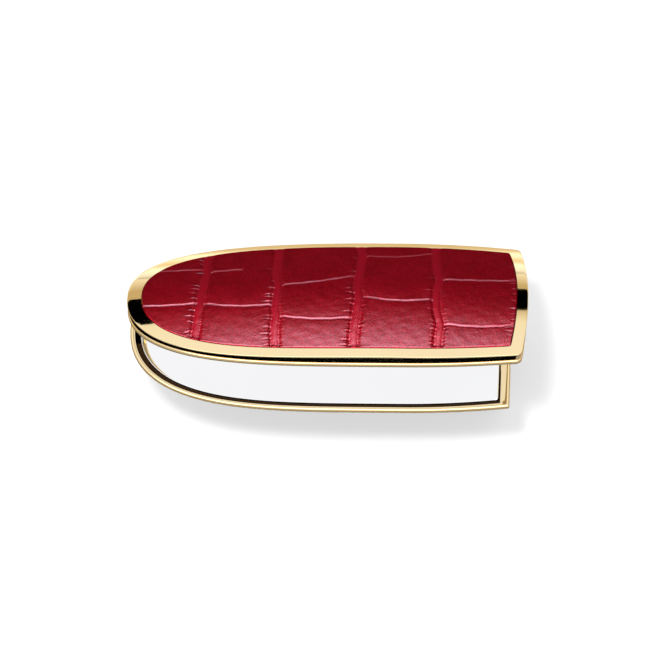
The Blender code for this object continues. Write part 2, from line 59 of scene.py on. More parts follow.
# Plan outline, shared by body and lid
HALF_WIDTH = 14.5
LID_LENGTH = 68.05
BODY_LENGTH = 66.27
WIDEST_ALONG = 48.5
NOSE_POWER = 4.13
NOSE_ROOT = 2.27
END_TAPER = 0.081
BODY_END_BULGE = 0.26
LID_END_BULGE = 1.07
LID_CREST_BULGE = 1.26

# Body section
SKIRT_DEPTH = 0.9
BELLY_DEPTH = 10.95
BELLY_HALF_WIDTH = 10.2
BELLY_HALF_DEPTH = 9.55
NOSE_SWEEP = 16.0
NOSE_SWEEP_DEPTH = 21.0
NOSE_SWEEP_POWER = 2.2
SHELL_WALL = 0.85
END_WALL = 1.6
SHELL_FLOOR_DEPTH = 19.55
BODY_CORNER = 0.25

# Lid crown
CREST_HEIGHT = 5.23
CREST_ALONG = 44.5
ARCH_RADIUS = 396.0
CAMBER_RADIUS = 43.1

# Insets (side, nose, end) from the outline
BODY_MIRROR_INSET = (1.57, 1.84, 1.95)
LID_MIRROR_INSET = (1.6, 2.0, 2.1)
LEATHER_INSET = (1.64, 2.56, 1.9)
LEATHER_GAP = 0.08
INSET_CORNER = 0.5
LID_CORNER = 0.9

# Bore and hinge
BORE_DEPTH = 10.8
BORE_RADIUS = 7.8
SLEEVE_RADIUS = 8.35
COLLAR_RADIUS = 8.55
HINGE_SPAN = (22.55, 61.95)
HINGE_INNER_Y = 13.0
HINGE_OUTER_Y = 17.0

# Leather finish: how much of its look is glaze, its dye where pressed down, and a painted highlight on its
# folds
GLAZE_SHARE = 0.002
GLAZE_COLOUR = (1.0, 0.8, 1.0, 1)
PRESSED = "pressed"
PRESSED_COLOUR = (0.3, 0.005, 0.015, 1)
# Creases carry a painted highlight, a paler pink that stands for light caught on their lips
PAINTED_CREASE_GLINT = "painted_crease_glint"
PAINTED_CREASE_GLINT_COLOUR = (0.45, 0.07, 0.1, 1)

# Fineness
FLANK_STEPS = 150
CORNER_STEPS = 10
END_STEPS = 24
NOSE_CROWDING = 0.12
ROUND_STEPS = 96
SHARP_ANGLE = math.radians(32)


def body_places():
    """Matrices from the closed millimetre space to each body's place in the row frame at rest."""
    nose_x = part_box("lid_frame")[0].x
    rim_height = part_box("body_shell")[1].z
    body_place = Matrix.Translation((nose_x, 0, rim_height)) @ Matrix.Scale(MM, 4)
    hinge = next(joint for joint in frame["joints"] if joint["name"] == "lid_hinge")
    pivot = Matrix.Translation(hinge["pos_m"])
    opened = Matrix.Rotation(math.radians(-hinge["range_deg"][0]), 4, Vector(hinge["axis"]))
    return {"body": body_place, "catch": body_place, "lid": pivot @ opened @ pivot.inverted() @ body_place}


PLACES = body_places()


# Curves


def half_width(along):
    """Half width of the plan at distances from the nose tip."""
    before = np.clip((WIDEST_ALONG - along) / WIDEST_ALONG, 0, 1)
    after = np.clip((along - WIDEST_ALONG) / (LID_LENGTH - WIDEST_ALONG), 0, None)
    return HALF_WIDTH * (1 - before**NOSE_POWER) ** (1 / NOSE_ROOT) * (1 - END_TAPER * after**2)


def nose_weighted(steps):
    """Shares from 0 to 1 that crowd towards 0, where the nose turns fastest."""
    share = np.linspace(0, 1, steps + 1)
    return share**2 * (1 + NOSE_CROWDING) / (share + NOSE_CROWDING)


def quadratic(start, control, stop, steps):
    """Inner points of a quadratic curve."""
    t = np.linspace(0, 1, steps + 2)[1:-1, None]
    return start * (1 - t) ** 2 + 2 * control * t * (1 - t) + stop * t**2


def plan_loop(length, insets, bulge, corner):
    """Plan loop from the hinge side's end corner round the nose and back, with its end corners rounded."""
    side, nose, end = insets
    shrink = 1 - side / HALF_WIDTH
    along = nose_weighted(FLANK_STEPS) * (length - corner)
    flank_x = nose + along * (length - nose - end) / length
    flank = np.stack([flank_x, half_width(along) * shrink], axis=1)
    tip = np.array([length - end, half_width(np.array(length)) * shrink])
    shares = np.linspace(-1, 1, END_STEPS + 1) * (1 - corner / tip[1])
    edge = np.stack([tip[0] + bulge * (1 - shares**2), tip[1] * shares], axis=1)
    rounding = quadratic(edge[-1], tip, flank[-1], CORNER_STEPS)
    mirror = np.array([1, -1])
    return np.concatenate([flank[::-1], flank[1:] * mirror, rounding[::-1] * mirror, edge, rounding])


def lid_top(x, y):
    """Height of the closed lid's crown."""
    arch = (x - CREST_ALONG) ** 2 / (2 * ARCH_RADIUS)
    return CREST_HEIGHT - arch - CAMBER_RADIUS + np.sqrt(CAMBER_RADIUS**2 - y**2)


def flat(loop, height):
    return np.column_stack([loop, np.full(len(loop), height)])


def on_crown(loop, drop):
    """A plan loop laid on the lid's crown, lowered by drop."""
    return np.column_stack([loop, lid_top(loop[:, 0], loop[:, 1]) - drop])


def section_half_width(depth, wall):
    """Half width of the body's section at a depth, inside a wall of this thickness."""
    rim = HALF_WIDTH - wall
    if depth < SKIRT_DEPTH:
        return rim
    across = BELLY_HALF_WIDTH - wall
    down = BELLY_HALF_DEPTH - wall
    drop = BELLY_DEPTH - SKIRT_DEPTH
    reach = math.hypot(rim * down / across, drop)
    lean = math.atan2(rim * down / across, drop) - math.asin(down / reach)
    if depth - SKIRT_DEPTH < math.sqrt(reach**2 - down**2) * math.cos(lean):
        return rim - (depth - SKIRT_DEPTH) * math.tan(lean) * across / down
    return across * math.sqrt(1 - ((depth - BELLY_DEPTH) / down) ** 2)


def nose_sweep(depth):
    """How far the nose has swept back at a depth."""
    return NOSE_SWEEP * (1 - math.sqrt(1 - (depth / NOSE_SWEEP_DEPTH) ** NOSE_SWEEP_POWER))


def hull_ring(depth, wall, end):
    """The body's waterline at a depth, inside a wall."""
    side = HALF_WIDTH - section_half_width(depth, wall)
    nose = nose_sweep(depth + wall) + wall
    return flat(plan_loop(BODY_LENGTH, (side, nose, end), BODY_END_BULGE, BODY_CORNER), -depth)


# Mesh helpers


def put_in_scene(name, data):
    made = bpy.data.objects.new(name, data)
    bpy.context.scene.collection.objects.link(made)
    return made


def band_faces(low, high):
    """Quads between two equal closed loops of point numbers."""
    return [(low[i - 1], low[i], high[i], high[i - 1]) for i in range(len(low))]


def new_piece(name, points, faces, body, finish, sharp=SHARP_ANGLE):
    """An object from points in the closed millimetre space, riding on a body."""
    mesh = bpy.data.meshes.new(name)
    mesh.from_pydata(np.asarray(points).tolist(), [], faces)
    surface = bmesh.new()
    surface.from_mesh(mesh)
    bmesh.ops.remove_doubles(surface, verts=surface.verts, dist=1e-5)
    bmesh.ops.recalc_face_normals(surface, faces=surface.faces)
    surface.to_mesh(mesh)
    surface.free()
    mesh.transform(PLACES[body])
    mesh.materials.append(finish)
    mesh.shade_smooth()
    mesh.set_sharp_from_angle(angle=sharp)
    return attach(put_in_scene(name, mesh), body)


def loft(name, rings, body, finish, closed=False):
    """A closed surface through equal rings, capped at both ends unless it closes on itself."""
    size = len(rings[0])
    numbers = [list(range(i * size, (i + 1) * size)) for i in range(len(rings))]
    faces = []
    for low, high in zip(numbers, numbers[1:]):
        faces += band_faces(low, high)
    if closed:
        faces += band_faces(numbers[-1], numbers[0])
    else:
        faces += [tuple(numbers[0][::-1]), tuple(numbers[-1])]
    return new_piece(name, np.concatenate(rings), faces, body, finish)


def block(name, low, high, body, finish):
    """A block between two corners."""
    corners = np.array([(low[0], low[1]), (high[0], low[1]), (high[0], high[1]), (low[0], high[1])])
    return loft(name, [flat(corners, low[2]), flat(corners, high[2])], body, finish)


def turned(profile, y, height):
    """Circles round an axis along x, through (along, radius) points."""
    angles = np.linspace(0, 2 * math.pi, ROUND_STEPS, endpoint=False)
    return [
        np.column_stack([np.full(ROUND_STEPS, a), y + r * np.cos(angles), height + r * np.sin(angles)])
        for a, r in profile
    ]


def combine(target, tools, operation):
    """Applies a Boolean of each tool to target, then removes the tools."""
    for tool in tools:
        modifier = target.modifiers.new(tool.name, "BOOLEAN")
        modifier.operation = operation
        modifier.object = tool
    graph = bpy.context.evaluated_depsgraph_get()
    mesh = bpy.data.meshes.new_from_object(target.evaluated_get(graph))
    target.modifiers.clear()
    target.data = mesh
    mesh.shade_smooth()
    mesh.set_sharp_from_angle(angle=SHARP_ANGLE)
    for tool in tools:
        bpy.data.objects.remove(tool)


def stand_for(node):
    """Hides a CAD node, so that the piece built in its place is shown instead."""
    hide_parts(node)


# Materials


def new_material(name):
    made = bpy.data.materials.new(name)
    made.use_nodes = True
    return made, made.node_tree, made.node_tree.nodes["Principled BSDF"]


def set_inputs(tree, node, **values):
    """Sets a node's inputs by name, or links them when the value is a socket."""
    for key, value in values.items():
        socket = node.inputs[key.replace("_", " ")]
        if isinstance(value, bpy.types.NodeSocket):
            tree.links.new(value, socket)
        else:
            socket.default_value = value


def add_node(tree, kind, **values):
    """A node with its inputs set or linked."""
    node = tree.nodes.new(kind)
    set_inputs(tree, node, **values)
    return node


def stretched_place(tree, stretch):
    """The object's own metres, scaled per axis."""
    place = add_node(tree, "ShaderNodeTexCoord")
    return add_node(tree, "ShaderNodeMapping", Vector=place.outputs["Object"], Scale=stretch).outputs[0]


def noise(tree, scale, detail=2.0, roughness=0.5, stretch=(1, 1, 1)):
    """Noise with its scale in cells per metre. Stretch draws the cells out."""
    texture = add_node(
        tree, "ShaderNodeTexNoise",
        Vector=stretched_place(tree, stretch), Scale=scale, Detail=detail, Roughness=roughness,
    )
    return texture.outputs["Fac"]


def cells(tree, scale, stretch=(1, 1, 1)):
    """Distance to the nearest of scattered points, for a pebbled grain."""
    texture = add_node(tree, "ShaderNodeTexVoronoi", Vector=stretched_place(tree, stretch), Scale=scale)
    texture.feature = "SMOOTH_F1"
    return texture.outputs["Distance"]


def ramp(tree, factor, stops):
    """Colours or greys between (position, value) stops."""
    node = add_node(tree, "ShaderNodeValToRGB", Fac=factor)
    elements = node.color_ramp.elements
    while len(elements) < len(stops):
        elements.new(0.5)
    for element, (position, value) in zip(elements, stops):
        element.position = position
        element.color = (*value, 1) if isinstance(value, tuple) else (value, value, value, 1)
    return node.outputs["Color"]


def mixed(tree, share, first, second, blend="MIX"):
    """A colour mix. Share, first and second are sockets or plain values."""
    node = tree.nodes.new("ShaderNodeMix")
    node.data_type = "RGBA"
    node.blend_type = blend
    set_inputs(tree, node, Factor=share, A=first, B=second)
    return node.outputs["Result"]


def graded(tree, shader, inlet, factor, stops):
    """Drives an input of a shader by a ramp."""
    tree.links.new(ramp(tree, factor, stops), shader.inputs[inlet])


def blended_shaders(tree, share, first, second):
    """Mixes two shaders into the material's surface."""
    blend = add_node(tree, "ShaderNodeMixShader", Fac=share)
    tree.links.new(first.outputs[0], blend.inputs[1])
    tree.links.new(second.outputs[0], blend.inputs[2])
    tree.links.new(blend.outputs[0], tree.nodes["Material Output"].inputs["Surface"])


def bump(tree, height, strength, distance, normal=None):
    """Bump from a height, with its distance in metres."""
    node = add_node(tree, "ShaderNodeBump", Height=height, Strength=strength, Distance=distance)
    if normal:
        tree.links.new(normal, node.inputs["Normal"])
    return node.outputs["Normal"]


def polished_gold():
    """Mirror-polished plate with a faint cloudiness and hairline polishing marks."""
    made, tree, shader = new_material("polished_gold")
    cloud = noise(tree, 90, 3)
    graded(tree, shader, "Base Color", cloud, [(0.3, (0.89, 0.715, 0.42)), (0.7, (0.915, 0.74, 0.45))])
    shader.inputs["Metallic"].default_value = 1
    hairlines = noise(tree, 2500, 2, stretch=(0.05, 1, 1))
    graded(tree, shader, "Roughness", hairlines, [(0.35, 0.03), (0.75, 0.075)])
    tree.links.new(bump(tree, hairlines, 0.04, 2e-6), shader.inputs["Normal"])
    return made


def satin_gold():
    """Duller plate of the inner fittings, with a fine grain."""
    made, tree, shader = new_material("satin_gold")
    grain = noise(tree, 3500, 3, stretch=(0.2, 1, 1))
    graded(tree, shader, "Base Color", grain, [(0.3, (0.50, 0.34, 0.15)), (0.7, (0.66, 0.47, 0.22))])
    shader.inputs["Metallic"].default_value = 1
    graded(tree, shader, "Roughness", grain, [(0.3, 0.22), (0.7, 0.34)])
    tree.links.new(bump(tree, grain, 0.15, 8e-6), shader.inputs["Normal"])
    return made


def mirror_glass():
    """Silvered glass with a faint haze. Polished surfaces see it as a painted even white glow, so facing
    mirrors stay calm.
    """
    made, tree, shader = new_material("mirror_glass")
    haze = noise(tree, 60, 2)
    graded(tree, shader, "Base Color", haze, [(0.3, (0.93, 0.93, 0.935)), (0.7, (0.95, 0.95, 0.955))])
    shader.inputs["Metallic"].default_value = 1
    graded(tree, shader, "Roughness", haze, [(0.3, 0.0), (0.7, 0.01)])
    path = add_node(tree, "ShaderNodeLightPath")
    # Painted reflection: surfaces that mirror this glass see an even white glow instead of what it reflects
    painted_glow = add_node(tree, "ShaderNodeEmission", Color=(0.97, 0.97, 0.98, 1), Strength=1.0)
    blended_shaders(tree, path.outputs["Is Glossy Ray"], shader, painted_glow)
    return made


def moulded_plastic(name, dark, light, shine=0.5):
    """Matte moulded plastic with a fine spark-eroded texture."""
    made, tree, shader = new_material(name)
    texture = noise(tree, 5000, 4)
    graded(tree, shader, "Base Color", texture, [(0.3, dark), (0.7, light)])
    graded(tree, shader, "Roughness", texture, [(0.3, 0.5), (0.7, 0.38)])
    tree.links.new(bump(tree, texture, 0.3, 1e-5), shader.inputs["Normal"])
    shader.inputs["Specular IOR Level"].default_value = shine
    return made


def steel():
    """Drawn steel with marks along x."""
    made, tree, shader = new_material("steel")
    marks = noise(tree, 6000, 3, stretch=(0.04, 1, 1))
    graded(tree, shader, "Base Color", marks, [(0.3, (0.50, 0.50, 0.52)), (0.7, (0.68, 0.68, 0.70))])
    shader.inputs["Metallic"].default_value = 1
    graded(tree, shader, "Roughness", marks, [(0.3, 0.2), (0.7, 0.32)])
    tree.links.new(bump(tree, marks, 0.1, 5e-6), shader.inputs["Normal"])
    return made


def adhesive_tape():
    """White foam tape with open cells."""
    made, tree, shader = new_material("tape")
    foam = cells(tree, 3500)
    graded(tree, shader, "Base Color", foam, [(0.1, (0.80, 0.79, 0.75)), (0.8, (0.66, 0.65, 0.61))])
    shader.inputs["Roughness"].default_value = 0.8
    tree.links.new(bump(tree, foam, 0.4, 2e-5), shader.inputs["Normal"])
    return made


def red_leather():
    """Glazed leather: mottled deep red, paler where pressed, painted highlight on creases, pebble grain, fine
    creasing.
    """
    made, tree, shader = new_material("red_leather")
    mottle = noise(tree, 260, 4, 0.6)
    hide = ramp(tree, mottle, [(0.3, (0.21, 0.0024, 0.0066)), (0.7, (0.265, 0.0034, 0.0105))])
    speckle = noise(tree, 4000, 3)
    dye_and_glint = mixed(tree, 1, hide, ramp(tree, speckle, [(0.4, 0.66), (0.6, 1.0)]), "MULTIPLY")
    # Grooves get a paler red; creases get a painted highlight
    for mark, colour in ((PRESSED, PRESSED_COLOUR), (PAINTED_CREASE_GLINT, PAINTED_CREASE_GLINT_COLOUR)):
        marked = add_node(tree, "ShaderNodeAttribute")
        marked.attribute_name = mark
        dye_and_glint = mixed(tree, marked.outputs["Fac"], dye_and_glint, colour)
    tree.links.new(dye_and_glint, shader.inputs["Base Color"])
    grain = cells(tree, 4200, (0.8, 1, 1))
    pores = noise(tree, 9000, 2)
    creasing = noise(tree, 1500, 3, 0.6, (1.7, 0.5, 1))
    graded(tree, shader, "Roughness", pores, [(0.25, 0.5), (0.75, 0.36)])
    relief = bump(tree, grain, 0.45, 3e-5)
    relief = bump(tree, creasing, 0.45, 5e-5, relief)
    relief = bump(tree, pores, 0.2, 1e-5, relief)
    tree.links.new(relief, shader.inputs["Normal"])
    shader.inputs["Specular IOR Level"].default_value = 0
    glaze = add_node(tree, "ShaderNodeBsdfGlossy", Normal=relief, Color=GLAZE_COLOUR)
    graded(tree, glaze, "Roughness", pores, [(0.25, 0.42), (0.75, 0.36)])
    glaze.distribution = "BECKMANN"
    blended_shaders(tree, GLAZE_SHARE, shader, glaze)
    return made


# Leather

# A groove crosses the hide at along + lean * y. Its half width is in mm.
GROOVES = (
    {"along": 12.9, "lean": 0.085, "half": 0.62},
    {"along": 25.85, "lean": 0.0, "half": 0.66},
    {"along": 39.95, "lean": 0.04, "half": 0.7},
    {"along": 53.6, "lean": -0.02, "half": 0.62},
)
GROOVE_DEPTH = 0.15
GROOVE_SHOULDER = 0.65
GROOVE_PINCH = {"depth": 0.02, "width": 0.16}
GROOVE_RIDGE = 0.09
GROOVE_DIP = {"depth": 0.1, "reach": 1.6}
GROOVE_WANDER = {"reach": 0.12, "turn": 0.55, "offset": 2.1}
GROOVE_BEND = {"reach": 0.32, "width": 1.5}

# How strongly grooves take their paler dye and creases their painted highlight
PRESSED_SHARE = 0.8
PAINTED_CREASE_GLINT_SHARE = 0.75

# Where the first column of scales starts and the last one stops, which follows the hide's rounded end
LEATHER_START = 1.5
LEATHER_END = 67.4
END_CURVE = 0.0072

# A crease runs lengthwise across a column of scales, from y start to y stop with a sag between. Reach is the
# share of the column that it crosses.
CREASES = (
    {"column": 0, "start": 6.9, "stop": 6.5, "sag": 0.2, "reach": 1.0},
    {"column": 0, "start": -2.4, "stop": -2.6, "sag": 0.3, "reach": 1.0},
    {"column": 1, "start": 5.6, "stop": 6.1, "sag": 0.0, "reach": 0.52},
    {"column": 1, "start": -2.7, "stop": -3.5, "sag": 0.65, "reach": 1.0},
    {"column": 2, "start": 1.3, "stop": 3.5, "sag": 0.5, "reach": 1.0},
    {"column": 2, "start": -6.2, "stop": -6.7, "sag": 0.6, "reach": 1.0},
    {"column": 3, "start": 9.7, "stop": 10.8, "sag": 0.95, "reach": 1.0},
    {"column": 3, "start": -1.9, "stop": -2.35, "sag": 0.85, "reach": 1.0},
    {"column": 4, "start": 2.65, "stop": 2.9, "sag": 0.2, "reach": 1.0},
    {"column": 4, "start": -7.9, "stop": -7.6, "sag": 0.6, "reach": 1.0},
)
CREASE_WANDER = {"reach": 0.03, "turn": 1.9, "offset": 3}
FOLD = {"depth": 0.07, "width": 0.15}
LIP = {"height": 0.025, "offset": 0.3, "width": 0.18}
SCALE_DIP = {"depth": 0.08, "reach": 0.9}

# Puckers run out from a column's start (side 1) and back from its stop (side -1)
PUCKERS = (
    {"side": -1, "length": 1.6, "spacing": 1.25, "depth": 0.12},
    {"side": 1, "length": 0.9, "spacing": 0.42, "depth": 0.06},
)
PUCKER_WIDTHS = (0.09, 0.16)

RANDOM_SEED = 7
WAVES = 60
WAVE_LENGTHS = (0.7, 3.0)
WAVE_STEEPNESS = 0.0008


def smooth(t):
    t = np.clip(t, 0, 1)
    return t * t * (3 - 2 * t)


def groove_centre(number, y):
    """Where a groove lies along the hide, with a gentle wander and a bend at each crease that meets it."""
    groove = GROOVES[number]
    wander = np.sin(GROOVE_WANDER["turn"] * y + GROOVE_WANDER["offset"] * number)
    centre = groove["along"] + groove["lean"] * y + GROOVE_WANDER["reach"] * wander
    for crease in CREASES:
        if crease["column"] == number + 1:
            nearness = np.exp(-(((y - crease["start"]) / GROOVE_BEND["width"]) ** 2))
            centre = centre + GROOVE_BEND["reach"] * nearness
    return centre


def column_edges(column, y):
    """Where a column of scales starts and stops along the hide."""
    start = LEATHER_START + 0 * y
    stop = LEATHER_END - END_CURVE * y**2
    if column > 0:
        start = groove_centre(column - 1, y) + GROOVES[column - 1]["half"]
    if column < len(GROOVES):
        stop = groove_centre(column, y) - GROOVES[column]["half"]
    return start, stop


def groove_relief(x, y):
    """Wide, smooth channels with a low ridge inside and a pinched line at each side."""
    height = np.zeros_like(x)
    for number, groove in enumerate(GROOVES):
        distance = np.abs(x - groove_centre(number, y))
        half = groove["half"]
        height -= GROOVE_DEPTH * (1 - smooth((distance - half) / GROOVE_SHOULDER))
        height -= GROOVE_PINCH["depth"] * np.exp(-(((distance - half) / GROOVE_PINCH["width"]) ** 2))
        height += GROOVE_RIDGE * np.clip(1 - (distance / half) ** 2, 0, 1)
        height -= GROOVE_DIP["depth"] * np.exp(-np.clip(distance - half, 0, None) / GROOVE_DIP["reach"])
    return height


def crease_line(crease, x, y):
    """How strong a crease is at points of the hide, and how far to its hinge side they lie."""
    start, stop = column_edges(crease["column"], y)
    share = (x - start) / (stop - start)
    path = crease["start"] + (crease["stop"] - crease["start"]) * share
    wander = np.sin(CREASE_WANDER["turn"] * x + CREASE_WANDER["offset"] * crease["start"])
    path = path - 4 * crease["sag"] * share * (1 - share) + CREASE_WANDER["reach"] * wander
    reach = smooth((share + 0.02) / 0.03) * smooth((crease["reach"] + 0.02 - share) / 0.05)
    return reach, y - path


def crease_relief(x, y):
    """Thin folds between scales, with a raised lip on the hinge side and a scale that dips towards them."""
    height = np.zeros_like(x)
    for crease in CREASES:
        reach, distance = crease_line(crease, x, y)
        fold = FOLD["depth"] * np.exp(-((distance / FOLD["width"]) ** 2))
        lip = LIP["height"] * np.exp(-(((distance - LIP["offset"]) / LIP["width"]) ** 2))
        dip = SCALE_DIP["depth"] * np.exp(-np.abs(distance) / SCALE_DIP["reach"])
        height += reach * (lip - fold - dip)
    return height


def pucker_relief(x, y, random):
    """Puckers square to a column's edges: short and dense where it starts, long and sparse where it stops."""
    height = np.zeros_like(x)
    for column in range(len(GROOVES) + 1):
        for pucker in PUCKERS:
            at = -HALF_WIDTH + random.uniform(0, 1)
            while at < HALF_WIDTH:
                at += pucker["spacing"] * random.uniform(0.5, 1.6)
                reach = pucker["length"] * random.uniform(0.5, 1.4)
                strength = pucker["depth"] * random.uniform(0.3, 1.3)
                tilt = random.uniform(-0.25, 0.25)
                width = random.uniform(*PUCKER_WIDTHS)
                start, stop = column_edges(column, np.array(at))
                outward = (x - start if pucker["side"] > 0 else stop - x) - 0.1
                distance = y - at - tilt * outward
                near = (outward > -0.3) & (outward < reach) & (np.abs(distance) < 1)
                d = distance[near]
                taper = smooth((outward[near] + 0.3) / 0.4) * (1 - outward[near] / reach)
                fold = np.exp(-((d / width) ** 2)) - 0.5 * np.exp(-(((d - 2.2 * width) / (1.4 * width)) ** 2))
                height[near] -= strength * taper * fold
    return height


def hide_waves(x, y, random):
    """Slight unevenness of the hide, from plane waves in random directions."""
    height = np.zeros_like(x)
    for _ in range(WAVES):
        length = random.uniform(*WAVE_LENGTHS)
        heading = random.uniform(0, math.pi)
        phase = random.uniform(0, 2 * math.pi)
        turn = 2 * math.pi / length
        travel = x * math.cos(heading) + y * math.sin(heading)
        height += WAVE_STEEPNESS * length * np.sin(turn * travel + phase)
    return height


def mark_dye_and_painted_glint(mesh):
    """Stores on each point how far it lies inside a groove, for its paler colour, and a crease, for a painted
    highlight.
    """
    flattened = mesh.copy()
    flattened.transform(PLACES["lid"].inverted())
    points = np.empty(3 * len(mesh.vertices))
    flattened.vertices.foreach_get("co", points)
    bpy.data.meshes.remove(flattened)
    x, y, _ = points.reshape(-1, 3).T
    pressed = np.zeros_like(x)
    for number, groove in enumerate(GROOVES):
        distance = np.abs(x - groove_centre(number, y))
        pressed += PRESSED_SHARE * (1 - smooth((distance - groove["half"] + 0.1) / 0.4))
    painted_crease_glint = np.zeros_like(x)
    # Painted highlight along the creases
    for crease in CREASES:
        reach, distance = crease_line(crease, x, y)
        painted_crease_glint += PAINTED_CREASE_GLINT_SHARE * reach * np.exp(-((distance / FOLD["width"]) ** 2))
    for name, values in ((PRESSED, pressed), (PAINTED_CREASE_GLINT, painted_crease_glint)):
        mesh.attributes.new(name, "FLOAT", "POINT").data.foreach_set("value", values)


def leather_inlay(finish):
    """Embossed hide: a fine grid just over the crown, rolled down at its edge, with a plain underside."""
    columns, rows = 430, 190
    rise, thickness, fade = 0.12, 0.7, 0.5
    roll, roll_width = 0.03, 0.12
    side, nose, end = (inset + LEATHER_GAP for inset in LEATHER_INSET)
    along = nose_weighted(columns) * LID_LENGTH
    across = np.linspace(-1, 1, rows + 1)
    grid_along, grid_across = np.meshgrid(along, across, indexing="ij")
    y = half_width(grid_along) * (1 - side / HALF_WIDTH) * grid_across
    share = grid_along / LID_LENGTH
    x = nose + share * (LID_LENGTH - nose - end) + LID_CREST_BULGE * (1 - grid_across**2) * share**6
    random = np.random.RandomState(RANDOM_SEED)
    relief = groove_relief(x, y) + crease_relief(x, y)
    relief += pucker_relief(x, y, random)
    relief += hide_waves(x, y, random)
    edge = np.minimum((1 - np.abs(grid_across)) * half_width(grid_along), (1 - share) * LID_LENGTH)
    rolled = roll * (1 - np.sqrt(1 - (1 - np.clip(edge / roll_width, 0, 1)) ** 2))
    top = lid_top(x, y) + rise + relief * (0.35 + 0.65 * smooth(edge / fade)) - rolled
    points = np.stack([x, y, top], axis=-1).reshape(-1, 3)
    number = np.arange((columns + 1) * (rows + 1)).reshape(columns + 1, rows + 1)
    faces = [
        (number[i, j], number[i + 1, j], number[i + 1, j + 1], number[i, j + 1])
        for i in range(columns) for j in range(rows)
    ]
    border = np.concatenate([number[::-1, rows], number[1:, 0], number[columns, 1:rows]])
    loops = [border]
    plan = points[border, :2]
    middle = np.array([LID_LENGTH / 2, 0])
    rings = [points]
    for shrunk in (1, 0.8, 0.55, 0.3, 0.08):
        loops.append(len(np.concatenate(rings)) + np.arange(len(border)))
        rings.append(on_crown(middle + (plan - middle) * shrunk, thickness))
    for low, high in zip(loops, loops[1:]):
        faces += band_faces(low, high)
    faces.append(tuple(loops[-1]))
    piece = new_piece("leather_inlay_embossed", np.concatenate(rings), faces, "lid", finish, math.radians(60))
    mark_dye_and_painted_glint(piece.data)
    stand_for("leather_inlay")


# Lid metal


def lid_ring(inset, bulge):
    return plan_loop(LID_LENGTH, (inset, inset, inset), bulge, LID_CORNER)


def hinge_notch(name, body, low, high, finish):
    """A block that clears the hinge side for a hinge bar."""
    start = (HINGE_SPAN[0], HINGE_INNER_Y, low)
    stop = (HINGE_SPAN[1], HINGE_OUTER_Y, high)
    return block(name, start, stop, body, finish)


def lid_frame(finish):
    """Polished frame: leaning wall with a skirt, rounded edge, cambered rim and a pocket for the inlay."""
    foot, foot_inset, foot_edge, edge, chamfer = 1.1, 0.16, 0.05, 0.1, 0.08
    skirt_inset, plate, pocket_floor, notch_top = 0.9, 1.3, 1.75, 1.72
    pocket = tuple(inset - chamfer for inset in LEATHER_INSET)
    rings = [flat(lid_ring(skirt_inset, LID_END_BULGE), height) for height in (plate, foot)]
    rings.append(flat(lid_ring(foot_inset + foot_edge, LID_END_BULGE), foot))
    wall = flat(lid_ring(foot_inset, LID_END_BULGE), foot + foot_edge)
    rim = on_crown(lid_ring(0, LID_CREST_BULGE), edge)
    for share in np.linspace(0, 1, 8):
        rings.append(wall + (rim - wall) * share)
    for turn in np.linspace(0, math.pi / 2, 6)[1:]:
        rounded = lid_ring(edge * (1 - math.cos(turn)), LID_CREST_BULGE)
        rings.append(on_crown(rounded, edge * (1 - math.sin(turn))))
    outer = lid_ring(edge, LID_CREST_BULGE)
    inner = plan_loop(LID_LENGTH, pocket, LID_CREST_BULGE, INSET_CORNER)
    for share in np.linspace(0, 1, 7)[1:]:
        rings.append(on_crown(outer + (inner - outer) * share, 0))
    mouth = plan_loop(LID_LENGTH, LEATHER_INSET, LID_CREST_BULGE, INSET_CORNER)
    rings.append(on_crown(mouth, chamfer))
    rings.append(flat(mouth, pocket_floor))
    piece = loft("lid_frame_polished", rings, "lid", finish)
    combine(piece, [hinge_notch("frame_notch", "lid", -1, notch_top, finish)], "DIFFERENCE")
    stand_for("lid_frame")


def lid_mirror_frame(finish):
    """Half-round bead under the frame, with a lip that holds the lid mirror."""
    seam, bulge, middle, half = 0.35, 0.32, 0.54, 0.5
    nose_extra, end_extra = 0.35, 0.4
    turns = np.linspace(-math.pi / 2, math.pi / 2, 15)
    bead = [(seam - bulge * math.cos(turn), middle + half * math.sin(turn)) for turn in turns]
    lip = [(1.45, 1.04), (1.45, 0.52), (1.85, 0.52), (1.85, 0.28), (1.72, 0.12)]
    rings = []
    for inset, height in bead + lip:
        nose, end = (inset, inset) if inset <= seam else (inset + nose_extra, inset + end_extra)
        rings.append(flat(plan_loop(LID_LENGTH, (inset, nose, end), LID_END_BULGE, LID_CORNER), height))
    piece = loft("lid_mirror_frame_beaded", rings, "lid", finish, closed=True)
    seat = block("blade_seat", (1.3, -1.6, -1), (1.85, 1.6, 3), "lid", finish)
    combine(piece, [hinge_notch("ring_notch", "lid", -1, 3, finish), seat], "DIFFERENCE")
    stand_for("lid_mirror_frame")


def mirror_plate(body, plan, low, high, finish):
    """A body's mirror, with a narrow ground bevel on its visible edge. Plan is length, insets and bulge."""
    length, insets, bulge = plan
    bevel = 0.1
    step = math.copysign(bevel * 0.6, high - low)
    inner = tuple(inset + bevel for inset in insets)
    rings = [
        flat(plan_loop(length, insets, bulge, INSET_CORNER), low),
        flat(plan_loop(length, insets, bulge, INSET_CORNER), high - step),
        flat(plan_loop(length, inner, bulge, INSET_CORNER), high),
    ]
    piece = loft(f"{body}_mirror_bevelled", rings, body, finish)
    piece.data.set_sharp_from_angle(angle=math.radians(10))
    stand_for(f"{body}_mirror")


# Body metal


